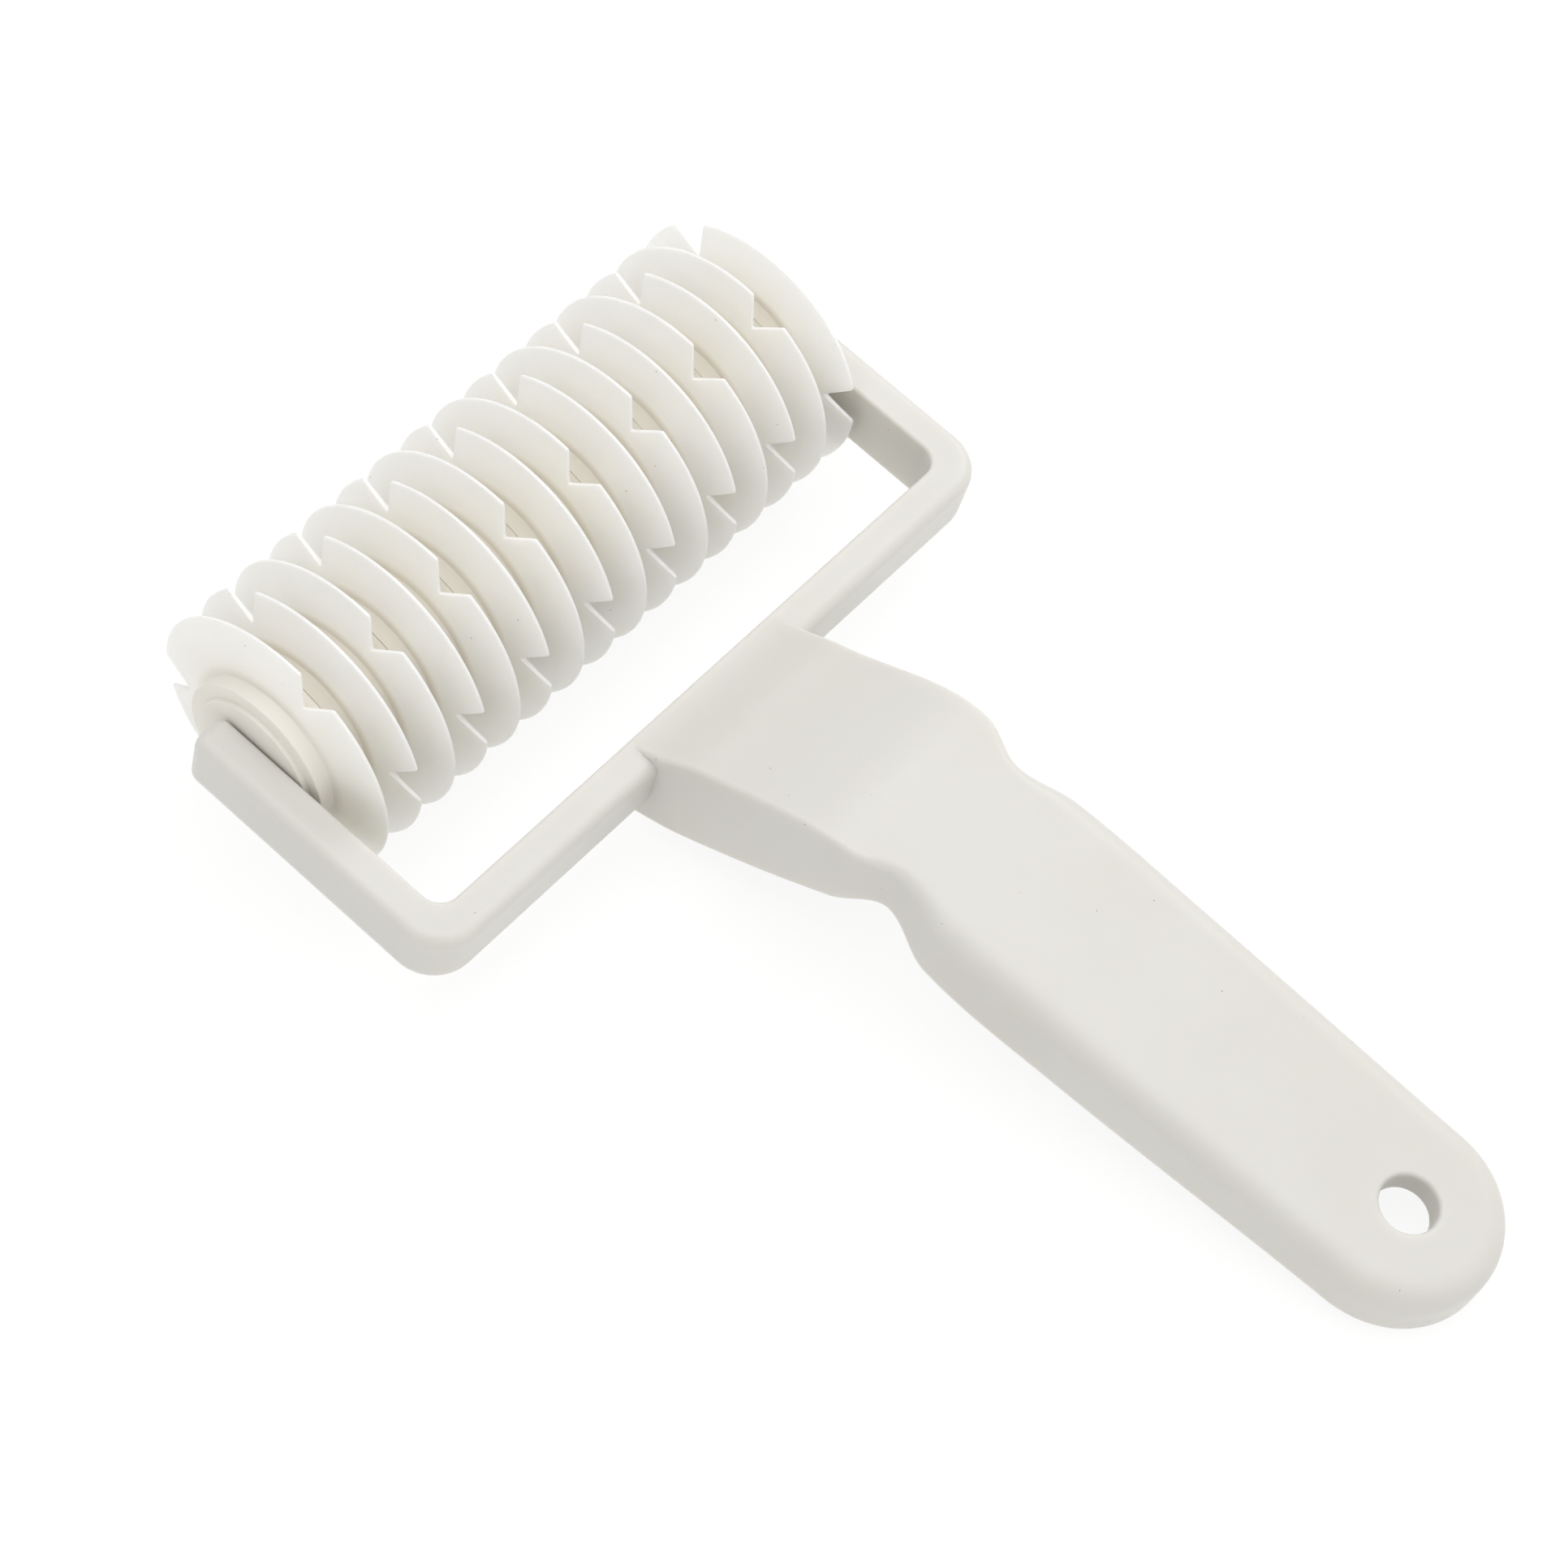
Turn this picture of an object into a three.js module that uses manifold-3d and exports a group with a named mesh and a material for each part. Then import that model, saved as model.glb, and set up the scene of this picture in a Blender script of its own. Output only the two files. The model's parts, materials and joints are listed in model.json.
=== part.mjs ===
// Lattice roller cutter: a stack of notched cutting discs turning in a one-piece yoke and handle.
// Millimetres. +X runs along the roller, +Y from the handle to the roller, +Z up.
// The tool lies as it does on a table: on the discs and on the far end of its handle.
import * as THREE from "three";
import { mergeVertices } from "three/addons/utils/BufferGeometryUtils.js";
import Module from "manifold-3d";

const wasm = await Module();
wasm.setup();

// Cutting discs
const DISC_COUNT = 16;
const DISC_PITCH = 6.77;
const DISC_RADIUS = 21.3;
const RIM_THICKNESS = 0.5;
const CORE_THICKNESS = 3.2;
const HUB_RADIUS = 12.6;
const HUB_NOSE_RADIUS = 10.3;
const HUB_NOSE = 0.7;
const NOTCH_COUNT = 3;
const NOTCH_DEPTH = 5.3;
const NOTCH_WIDTH = 7.0;
const FIRST_NOTCH_DEG = 14.6;
const DISC_FACETS = 30;

// Axle
const AXLE_FLATS = 8.0;
const JOURNAL_DIAMETER = 5.0;
const ROUND_FACETS = 32;

// Running and assembly clearances
const STACK_CLEARANCE = 0.4;
const KEY_CLEARANCE = 0.15;
const JOURNAL_CLEARANCE = 0.2;
const NEST_CLEARANCE = 0.3;
const END_PLAY = 0.3;

// Yoke: two arms and the bar that joins them
const ARM_THICKNESS = 5.8;
const BAR_THICKNESS = 5.8;
const ARM_ABOVE_AXIS = 5.5;
const ARM_BELOW_AXIS = 6.2;
const ARM_PAST_AXIS = 6.6;
const SOCKET_FLOOR = 2.0;
const BAR_GAP = 14.2;
const YOKE_INNER_RADIUS = 3.3;
const YOKE_OUTER_RADIUS = 7.0;
const YOKE_EDGE = 0.6;
const YOKE_UPPER_ROUND = 1.9;
const YOKE_LOWER_ROUND = 2.8;
const TIP_ROUND = 2.0;

// Handle: a sloped neck, finger scallops, then a level grip, hollow from below
const HANDLE_LENGTH = 138.2;
const NECK_FRONT = 3.4;
const NECK_ROOT_WIDTH = 32.6;
const NECK_DROP = 10.5;
const SHOULDER_FROM_BAR = 12.2;
const SHOULDER_RISE = 11.8;
const SHOULDER_DROP = 6.8;
const NECK_LENGTH = 36.7;
const NECK_WIDTH = 31.0;
const NECK_END_DEPTH = 13.5;
const WAIST_FROM_NECK = 7.5;
const WAIST_WIDTH = 26.0;
const WAIST_DEPTH = 9.7;
const WAIST_EDGE = 2.0;
const GRIP_FROM_WAIST = 9.4;
const GRIP_WIDTH = 31.3;
const GRIP_RISE = 22.6;
const GRIP_DEPTH = 11.7;
const GRIP_TAPER_START = 76.7;
const END_DEPTH = 8.7;
const END_WIDTH = 29.9;
const NECK_EDGE = 0.9;
const GRIP_EDGE = 4.0;
const WALL = 2.4;
const ROOF = 2.6;
const RIB = 1.6;
const RIB_RECESS = 1.5;
const RIB_SPACING = 21.0;
const HANG_HOLE = 8.4;
const HANG_HOLE_FROM_END = 14.4;
const HANG_BOSS_WALL = 2.2;
const HANG_BOSS_DEPTH = 4.7;
const HANG_CHAMFER = 0.6;

// Plastic
const FRAME_COLOUR = 0xeae8e1;
const DISC_COLOUR = 0xece8dd;
const HIDDEN_COLOUR = 0xe4e0d4;
const MOULDED_ROUGHNESS = 0.42;

// Steps of the curves
const CORNER_STEPS = 3;
const BEND_STEPS = 6;
const EDGE_STEPS = 4;
const END_STEPS = 8;
const STATION_STEP = 4.0;

// Places that follow from the sizes
const HUB_LENGTH = DISC_PITCH - CORE_THICKNESS - STACK_CLEARANCE;
const ROLLER_LENGTH = (DISC_COUNT - 1) * DISC_PITCH + CORE_THICKNESS + HUB_LENGTH + HUB_NOSE;
const ARM_INNER = ROLLER_LENGTH / 2 + END_PLAY;
const ROLLER_LEFT = -ROLLER_LENGTH / 2;
const FIRST_DISC = ROLLER_LEFT + HUB_LENGTH + CORE_THICKNESS / 2;
const ARM_OUTER = ARM_INNER + ARM_THICKNESS;
const SOCKET_DEPTH = ARM_THICKNESS - SOCKET_FLOOR;
const BAR_INNER = -(DISC_RADIUS + BAR_GAP);
const BAR_OUTER = BAR_INNER - BAR_THICKNESS;
const END_RADIUS = END_WIDTH / 2;
const END_START = HANDLE_LENGTH - END_RADIUS;
const WAIST_AT = NECK_LENGTH + WAIST_FROM_NECK;
const GRIP_START = WAIST_AT + GRIP_FROM_WAIST;
const HOLE_AT = HANDLE_LENGTH - HANG_HOLE_FROM_END;

/** Weld a closed geometry and turn it into a solid. */
function solidOf(geometry) {
  geometry.deleteAttribute("normal");
  geometry.deleteAttribute("uv");
  const welded = mergeVertices(geometry, 1e-4);
  const index = Array.from(welded.index.array);
  const triangles = [];
  for (let i = 0; i < index.length; i += 3) {
    const [a, b, c] = index.slice(i, i + 3);
    if (a !== b && b !== c && c !== a) {
      triangles.push(a, b, c);
    }
  }
  return new wasm.Manifold(new wasm.Mesh({
    numProp: 3,
    vertProperties: new Float32Array(welded.attributes.position.array),
    triVerts: new Uint32Array(triangles),
  }));
}

/** Skin rings of equal point count, one after another, and close both ends. */
function loft(rings) {
  const count = rings[0].length;
  const points = rings.flat();
  const index = [];
  for (let i = 0; i + 1 < rings.length; i += 1) {
    for (let j = 0; j < count; j += 1) {
      const a = i * count + j;
      const b = i * count + ((j + 1) % count);
      index.push(a, b, a + count, b, b + count, a + count);
    }
  }
  const caps = [[rings[0], 0, 1], [rings.at(-1), (rings.length - 1) * count, -1]];
  for (const [ring, first, turn] of caps) {
    const middle = points.length;
    const centre = new THREE.Vector3();
    ring.forEach((point) => centre.addScaledVector(point, 1 / count));
    points.push(centre);
    for (let j = 0; j < count; j += 1) {
      const pair = [first + j, first + ((j + 1) % count)];
      index.push(middle, ...(turn > 0 ? pair.reverse() : pair));
    }
  }
  const geometry = new THREE.BufferGeometry().setFromPoints(points);
  geometry.setIndex(index);
  return solidOf(geometry);
}

/** Revolve a profile of [along, radius] pairs about the X axis. */
function revolve(profile, facets) {
  const points = profile.map(([along, radius]) => new THREE.Vector2(radius, along));
  return solidOf(new THREE.LatheGeometry(points, facets).rotateZ(-Math.PI / 2));
}

/** A prism along X between two places, with flats at the given distance across. */
function hexRod(from, to, flats) {
  const radius = flats / 2 / Math.cos(Math.PI / 6);
  const geometry = new THREE.CylinderGeometry(radius, radius, to - from, 6);
  return solidOf(geometry.rotateZ(-Math.PI / 2).translate((from + to) / 2, 0, 0));
}

/** A round rod along X between two places. */
function roundRod(from, to, diameter) {
  return revolve([[from, 0], [from, diameter / 2], [to, diameter / 2], [to, 0]], ROUND_FACETS);
}

/** An upright box given by its lowest and highest corners. */
function box(low, high) {
  const size = high.map((value, i) => value - low[i]);
  const middle = high.map((value, i) => (value + low[i]) / 2);
  return solidOf(new THREE.BoxGeometry(...size).translate(...middle));
}

/** One cutting disc: a thin notched blade, with a hub whose nose nests in the short hub of its neighbour. */
function cuttingDisc(number) {
  const at = FIRST_DISC + (number - 1) * DISC_PITCH;
  const back = at + CORE_THICKNESS / 2;
  const root = at - CORE_THICKNESS / 2;
  const front = root - HUB_LENGTH;
  const step = front + HUB_NOSE;
  const nest = HUB_NOSE_RADIUS + NEST_CLEARANCE;
  let disc = revolve([
    [front, 0],
    [front, HUB_NOSE_RADIUS],
    [step, HUB_NOSE_RADIUS],
    [step, HUB_RADIUS],
    [root, HUB_RADIUS],
    [at - RIM_THICKNESS / 2, DISC_RADIUS],
    [at + RIM_THICKNESS / 2, DISC_RADIUS],
    [at + RIM_THICKNESS / 2, HUB_RADIUS],
    [back + HUB_NOSE, HUB_RADIUS],
    [back + HUB_NOSE, nest],
    [back, nest],
    [back, 0],
  ], DISC_FACETS);
  disc = disc.subtract(hexRod(front - 1, back + HUB_NOSE, AXLE_FLATS + 2 * KEY_CLEARANCE));
  const spacing = (2 * Math.PI) / NOTCH_COUNT;
  const phase = THREE.MathUtils.degToRad(FIRST_NOTCH_DEG) + (number % 2 ? 0 : spacing / 2);
  for (let i = 0; i < NOTCH_COUNT; i += 1) {
    disc = disc.subtract(notch(at, phase + i * spacing));
  }
  return disc;
}

/** A V-shaped cutter whose point lies one notch depth inside the rim, turned from upright. */
function notch(at, angle) {
  const point = DISC_RADIUS - NOTCH_DEPTH;
  const outside = 2 * NOTCH_DEPTH;
  const spread = (NOTCH_WIDTH / 2) * (outside / NOTCH_DEPTH);
  const shape = new THREE.Shape([
    new THREE.Vector2(point, 0),
    new THREE.Vector2(point + outside, -spread),
    new THREE.Vector2(point + outside, spread),
  ]);
  const depth = 2 * CORE_THICKNESS;
  const geometry = new THREE.ExtrudeGeometry(shape, { depth, bevelEnabled: false, steps: 1 });
  geometry.translate(0, 0, -depth / 2).rotateY(-Math.PI / 2).rotateX(angle).translate(at, 0, 0);
  return solidOf(geometry);
}

/** The keyed axle: a hexagonal rod with a round journal at each end. */
function axle() {
  const reach = ARM_INNER + SOCKET_DEPTH - END_PLAY;
  const key = hexRod(ROLLER_LEFT, -ROLLER_LEFT, AXLE_FLATS);
  return key.add(roundRod(-reach, reach, JOURNAL_DIAMETER));
}

/** One upright cross-section of the yoke between two places in plan, shrunk by an inset at a tip. */
function yokeRing(inner, outer, inset) {
  const middle = inner.clone().add(outer).multiplyScalar(0.5);
  const across = outer.clone().sub(inner).normalize();
  const half = inner.distanceTo(outer) / 2 - inset;
  const top = ARM_ABOVE_AXIS - inset;
  const bottom = -ARM_BELOW_AXIS + inset;
  const corners = [
    [half, top, -1, -1, YOKE_UPPER_ROUND, 0],
    [-half, top, 1, -1, YOKE_EDGE, 90],
    [-half, bottom, 1, 1, YOKE_EDGE, 180],
    [half, bottom, -1, 1, YOKE_LOWER_ROUND, 270],
  ];
  const ring = [];
  for (const [u, z, inU, inZ, wanted, start] of corners) {
    const radius = Math.min(wanted, half);
    for (let k = 0; k <= CORNER_STEPS; k += 1) {
      const angle = THREE.MathUtils.degToRad(start + (90 * k) / CORNER_STEPS);
      const out = u + inU * radius + radius * Math.cos(angle);
      const up = z + inZ * radius + radius * Math.sin(angle);
      ring.push(new THREE.Vector3(middle.x + across.x * out, middle.y + across.y * out, up));
    }
  }
  return ring;
}

/** The left half of the yoke's run, from the tip of the arm round the bend to the bar. */
function yokeHalfRings() {
  const rings = [];
  for (let k = 0; k <= CORNER_STEPS; k += 1) {
    const angle = (Math.PI / 2) * (k / CORNER_STEPS);
    const inset = TIP_ROUND * (1 - Math.sin(angle));
    const along = ARM_PAST_AXIS - TIP_ROUND * (1 - Math.cos(angle));
    const inner = new THREE.Vector2(-ARM_INNER, along);
    rings.push(yokeRing(inner, new THREE.Vector2(-ARM_OUTER, along), inset));
  }
  for (let k = 0; k <= BEND_STEPS; k += 1) {
    const angle = Math.PI + (Math.PI / 2) * (k / BEND_STEPS);
    const inner = bendPoint(ARM_INNER, BAR_INNER, YOKE_INNER_RADIUS, angle);
    const outer = bendPoint(ARM_OUTER, BAR_OUTER, YOKE_OUTER_RADIUS, angle);
    rings.push(yokeRing(inner, outer, 0));
  }
  return rings;
}

/** A place on a rounded left corner of the yoke's plan. */
function bendPoint(arm, bar, radius, angle) {
  const x = -arm + radius + radius * Math.cos(angle);
  const y = bar + radius + radius * Math.sin(angle);
  return new THREE.Vector2(x, y);
}

/** The U-shaped yoke: the left half and its mirror image. */
function yoke() {
  const left = yokeHalfRings();
  const mirrored = left.map((ring) => ring.map((p) => new THREE.Vector3(-p.x, p.y, p.z)));
  return loft([...mirrored, ...left.reverse()]);
}

// Sections of the handle, by distance from the bar's inner face: half width, top, depth, edge.
const STATIONS = [
  [0, NECK_ROOT_WIDTH, ARM_ABOVE_AXIS, ARM_ABOVE_AXIS + NECK_DROP, NECK_EDGE],
  [SHOULDER_FROM_BAR, NECK_WIDTH, SHOULDER_RISE, SHOULDER_RISE + SHOULDER_DROP, NECK_EDGE],
  [NECK_LENGTH, NECK_WIDTH, GRIP_RISE, NECK_END_DEPTH, NECK_EDGE],
  [WAIST_AT, WAIST_WIDTH, GRIP_RISE, WAIST_DEPTH, WAIST_EDGE],
  [GRIP_START, GRIP_WIDTH, GRIP_RISE, GRIP_DEPTH, GRIP_EDGE],
  [GRIP_TAPER_START, GRIP_WIDTH, GRIP_RISE, GRIP_DEPTH, GRIP_EDGE],
  [END_START, END_WIDTH, GRIP_RISE, END_DEPTH, GRIP_EDGE],
  [HANDLE_LENGTH, END_WIDTH, GRIP_RISE, END_DEPTH, GRIP_EDGE],
].map(([at, width, top, depth, edge]) => ({ at, half: width / 2, top, bottom: top - depth, edge }));

/** Slope of one column of the stations at a row: level at a turn and where the top leaves the bar. */
function slopeAt(key, row) {
  const before = STATIONS[Math.max(row - 1, 0)];
  const here = STATIONS[row];
  const after = STATIONS[Math.min(row + 1, STATIONS.length - 1)];
  const turns = (here[key] - before[key]) * (after[key] - here[key]) < 0;
  const leavesBar = key === "top" && row === 0;
  return turns || leavesBar ? 0 : (after[key] - before[key]) / (after.at - before.at);
}

/** Smooth value of one column of the stations at a distance along the handle. */
function handleValue(key, distance) {
  const last = STATIONS.length - 2;
  const row = Math.min(STATIONS.filter((station) => station.at <= distance).length - 1, last);
  const [a, b] = [STATIONS[row], STATIONS[row + 1]];
  const span = b.at - a.at;
  const t = (distance - a.at) / span;
  const rise = t * t * (3 - 2 * t);
  const leave = t * (1 - t) * (1 - t) * span * slopeAt(key, row);
  const arrive = t * t * (t - 1) * span * slopeAt(key, row + 1);
  return a[key] + (b[key] - a[key]) * rise + leave + arrive;
}

/** Half width of the handle's outline drawn in by an inset, with its round end. */
function handleHalf(distance, inset) {
  const past = distance - END_START;
  if (past <= 0) {
    return handleValue("half", distance) - inset;
  }
  return Math.sqrt(Math.max((END_RADIUS - inset) ** 2 - past ** 2, 0));
}

/** One cross-section of the handle: flat top, rounded upper edges, upright walls. */
function handleRing(distance, inset, roof, bottom) {
  const edge = Math.max(handleValue("edge", distance) - inset, NECK_EDGE / 2);
  const top = handleValue("top", distance) - roof;
  const room = END_RADIUS - inset - Math.max(distance - END_START, 0);
  const sweep = Math.acos(1 - Math.min(edge, room) / edge);
  const y = BAR_INNER - distance;
  const side = [];
  side.push([handleHalf(distance, inset), bottom]);
  for (let k = 0; k <= EDGE_STEPS; k += 1) {
    const angle = (sweep * k) / EDGE_STEPS;
    const drawn = edge * (1 - Math.cos(angle));
    side.push([handleHalf(distance, inset + drawn), top - edge + edge * Math.sin(angle)]);
  }
  const right = side.map(([half, z]) => new THREE.Vector3(half, y, z));
  const left = side.map(([half, z]) => new THREE.Vector3(-half, y, z));
  return [...right, ...left.reverse()];
}

/** Distances of the handle's rings: even steps, then closer ones round the end. */
function handleDistances(from, endRadius) {
  const distances = [];
  const count = Math.ceil((END_START - from) / STATION_STEP);
  for (let i = 0; i < count; i += 1) {
    distances.push(from + ((END_START - from) * i) / count);
  }
  const last = THREE.MathUtils.degToRad(87);
  for (let i = 0; i <= END_STEPS; i += 1) {
    distances.push(END_START + endRadius * Math.sin((last * i) / END_STEPS));
  }
  return distances;
}

/** The handle's outside, from the bar to its round end. */
function handleOutside() {
  const tucked = -ARM_BELOW_AXIS + YOKE_LOWER_ROUND / 2;
  const under = [2 * YOKE_EDGE, NECK_FRONT].map((distance) => handleRing(distance, 0, 0, tucked));
  const rest = handleDistances(NECK_FRONT + YOKE_EDGE / 4, END_RADIUS);
  const rings = rest.map((s) => handleRing(s, 0, 0, handleValue("bottom", s)));
  return loft([...under, ...rings]);
}

/** The hollow under the handle, less the ribs that cross it and the boss of the hang hole. */
function handleHollow() {
  const from = BAR_THICKNESS + WALL;
  const below = NECK_DROP + WALL;
  const distances = handleDistances(from, END_RADIUS - WALL);
  let hollow = loft(distances.map((s) => handleRing(s, WALL, ROOF, handleValue("bottom", s) - below)));
  const wide = NECK_ROOT_WIDTH;
  const deep = 2 * NECK_DROP;
  const lengthwise = [];
  for (const s of distances) {
    lengthwise.push([s, handleValue("bottom", s) + RIB_RECESS]);
  }
  hollow = hollow.subtract(ribAlong(lengthwise));
  const count = Math.floor((HOLE_AT - HANG_HOLE - from) / RIB_SPACING);
  for (let i = 1; i <= count; i += 1) {
    const s = from + i * RIB_SPACING;
    const y = BAR_INNER - s;
    const low = handleValue("bottom", s) + RIB_RECESS;
    hollow = hollow.subtract(box([-wide, y - RIB / 2, low], [wide, y + RIB / 2, low + deep]));
  }
  return hollow.subtract(hangBoss());
}

/** A thin upright rib on the middle plane, above a lower edge of [distance, height] pairs. */
function ribAlong(edge) {
  const top = GRIP_RISE;
  const lower = edge.map(([s, z]) => new THREE.Vector2(-(BAR_INNER - s), z));
  const first = edge[0][0];
  const last = edge.at(-1)[0];
  const shape = new THREE.Shape([
    ...lower,
    new THREE.Vector2(-(BAR_INNER - last), top),
    new THREE.Vector2(-(BAR_INNER - first), top),
  ]);
  const geometry = new THREE.ExtrudeGeometry(shape, { depth: RIB, bevelEnabled: false, steps: 1 });
  geometry.translate(0, 0, -RIB / 2).rotateX(Math.PI / 2).rotateZ(-Math.PI / 2);
  return solidOf(geometry);
}

/** An upright round solid on the hang hole's axis, from [height, radius] pairs. */
function onHangAxis(profile) {
  const points = profile.map(([z, radius]) => new THREE.Vector2(radius, z));
  const geometry = new THREE.LatheGeometry(points, ROUND_FACETS).rotateX(Math.PI / 2);
  return solidOf(geometry.translate(0, BAR_INNER - HOLE_AT, 0));
}

/** The thick ring round the hang hole, hanging from the roof of the grip. */
function hangBoss() {
  const radius = HANG_HOLE / 2 + HANG_BOSS_WALL;
  const low = GRIP_RISE - HANG_BOSS_DEPTH;
  return onHangAxis([[low, 0], [low, radius], [GRIP_RISE, radius], [GRIP_RISE, 0]]);
}

/** The hang hole with a chamfered mouth in the top of the grip. */
function hangHole() {
  const radius = HANG_HOLE / 2;
  const low = GRIP_RISE - 2 * GRIP_DEPTH;
  const mouth = GRIP_RISE - HANG_CHAMFER;
  const wide = radius + 2 * HANG_CHAMFER;
  const high = GRIP_RISE + HANG_CHAMFER;
  return onHangAxis([[low, 0], [low, radius], [mouth, radius], [high, wide], [high, 0]]);
}

/** The moulded yoke and handle, with a blind socket for the axle in each arm. */
function handleFrame() {
  const reach = ARM_INNER + SOCKET_DEPTH;
  const sockets = roundRod(-reach, reach, JOURNAL_DIAMETER + 2 * JOURNAL_CLEARANCE);
  const handle = handleOutside().subtract(handleHollow()).subtract(hangHole());
  return yoke().add(handle).subtract(sockets);
}

/** Tilt that brings the underside of the handle's end level with the bottom of the discs. */
function restTilt() {
  const endBelow = GRIP_RISE - END_DEPTH;
  const endAway = HANDLE_LENGTH - BAR_INNER;
  return Math.atan2(endBelow, endAway) + Math.asin(DISC_RADIUS / Math.hypot(endBelow, endAway));
}

/** A named mesh of a solid, in its own plastic. */
function meshOf(name, solid, color) {
  const { vertProperties, triVerts } = solid.getMesh();
  const geometry = new THREE.BufferGeometry();
  geometry.setAttribute("position", new THREE.BufferAttribute(new Float32Array(vertProperties), 3));
  geometry.setIndex(new THREE.BufferAttribute(new Uint32Array(triVerts), 1));
  geometry.rotateX(restTilt());
  geometry.computeVertexNormals();
  const material = new THREE.MeshStandardMaterial({
    color,
    roughness: MOULDED_ROUGHNESS,
    metalness: 0,
  });
  const mesh = new THREE.Mesh(geometry, material);
  mesh.name = name;
  return mesh;
}

const cutter = new THREE.Group();
cutter.name = "lattice_roller_cutter";
cutter.add(meshOf("handle_frame", handleFrame(), FRAME_COLOUR));
cutter.add(meshOf("axle", axle(), HIDDEN_COLOUR));
for (let number = 1; number <= DISC_COUNT; number += 1) {
  const name = `cutting_disc_${String(number).padStart(2, "0")}`;
  cutter.add(meshOf(name, cuttingDisc(number), DISC_COLOUR));
}

// Stand the tool on z = 0 with its box centred over the origin.
const bounds = new THREE.Box3().setFromObject(cutter);
const middle = bounds.getCenter(new THREE.Vector3());
cutter.children.forEach((mesh) => mesh.geometry.translate(-middle.x, -middle.y, -bounds.min.z));

export default cutter;
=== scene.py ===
"""Looks of a moulded lattice roller cutter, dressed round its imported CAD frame."""

import json
import logging
import math
from dataclasses import dataclass, field, replace
from enum import Enum

import bmesh
import bpy
import numpy as np
from mathutils import Matrix, Vector


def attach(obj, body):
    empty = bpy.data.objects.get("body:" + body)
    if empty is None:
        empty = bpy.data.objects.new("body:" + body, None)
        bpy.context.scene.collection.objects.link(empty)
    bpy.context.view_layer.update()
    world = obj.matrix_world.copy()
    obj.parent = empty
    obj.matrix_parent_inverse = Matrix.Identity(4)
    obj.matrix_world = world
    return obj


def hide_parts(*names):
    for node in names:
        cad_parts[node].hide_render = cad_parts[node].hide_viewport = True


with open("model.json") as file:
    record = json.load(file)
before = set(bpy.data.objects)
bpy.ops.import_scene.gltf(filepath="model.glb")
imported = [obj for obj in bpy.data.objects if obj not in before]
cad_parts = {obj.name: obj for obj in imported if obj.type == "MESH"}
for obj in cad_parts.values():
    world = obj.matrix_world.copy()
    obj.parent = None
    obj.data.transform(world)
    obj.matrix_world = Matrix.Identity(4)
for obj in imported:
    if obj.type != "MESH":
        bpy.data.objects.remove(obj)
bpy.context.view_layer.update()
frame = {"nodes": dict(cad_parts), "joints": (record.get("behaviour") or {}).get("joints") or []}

log = logging.getLogger("cutter")

AXLE_AT = tuple(frame["joints"][0]["pos_m"])
MM = 0.001
IMAGE_PX = 1932
QUARTER = math.pi / 2
SHARP_EDGE = math.radians(38)


class Body(Enum):
    """Rigid bodies that pieces ride on."""

    FRAME = "frame"
    ROLLER = "roller"


class Slot(Enum):
    """Material slots of the record."""

    FRAME = "frame_plastic"
    DISC = "disc_plastic"
    AXLE = "axle_plastic"


class Column(Enum):
    """Columns of the handle's station table, after the distance."""

    HALF = 0
    TOP = 1
    BOTTOM = 2
    EDGE = 3


def linear(code: str) -> tuple[float, float, float, float]:
    """Turn an sRGB hex colour into linear values.

    Args:
        code: six hex digits, red first.

    Returns:
        Linear red, green and blue, with an alpha of one.
    """
    srgb = np.array([int(code[i : i + 2], 16) for i in (0, 2, 4)]) / 255
    curve = np.where(srgb <= 0.04045, srgb / 12.92, ((srgb + 0.055) / 1.055) ** 2.4)
    return (*curve.tolist(), 1.0)


def add(
    tree: bpy.types.NodeTree,
    kind: str,
    inputs: dict[str | int, object] | None = None,
    **settings: object,
) -> bpy.types.Node:
    """Add one shader node with its settings and feed its inputs.

    Args:
        tree: node tree that takes the node.
        kind: Blender's class name of the node.
        inputs: socket name or number to a value, or to the socket that feeds it.
        settings: attributes of the node.

    Returns:
        The new node.
    """
    node = tree.nodes.new(kind)
    for name, value in settings.items():
        setattr(node, name, value)
    for key, value in (inputs or {}).items():
        if isinstance(value, bpy.types.NodeSocket):
            tree.links.new(value, node.inputs[key])
        else:
            node.inputs[key].default_value = value
    return node


@dataclass(frozen=True)
class HubShadeAndThinning:
    """Where a turned piece thins out, as distances from the axle in millimetres.

    Round the hub, where the wall is thick, the colour is painted darker and warmer: painted shade for the
    recesses between the discs. The thick wall also lets no light through.
    """

    thick_until: float
    thin_from: float
    # colour of the painted shade on the hub, laid where the wall is thick
    painted_hub_shade_colour: str

    def share(self, tree: bpy.types.NodeTree, place: bpy.types.NodeSocket) -> bpy.types.NodeSocket:
        """Measure how thin the wall is at a place; the same mask lays the painted hub shade.

        Args:
            tree: node tree that takes the nodes.
            place: Object coordinates.

        Returns:
            A socket that goes from nought where the wall is thick to one where it is thin.
        """
        _, y, z = AXLE_AT
        beside = add(
            tree,
            "ShaderNodeVectorMath",
            {0: place, 1: (0.0, y, z)},
            operation="SUBTRACT",
        ).outputs[0]
        across = add(
            tree,
            "ShaderNodeVectorMath",
            {0: beside, 1: (0.0, 1.0, 1.0)},
            operation="MULTIPLY",
        ).outputs[0]
        reach = add(tree, "ShaderNodeVectorMath", {0: across}, operation="LENGTH").outputs["Value"]
        return add(
            tree,
            "ShaderNodeMapRange",
            {"Value": reach, "From Min": self.thick_until * MM, "From Max": self.thin_from * MM},
            interpolation_type="SMOOTHSTEP",
        ).outputs["Result"]


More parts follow.
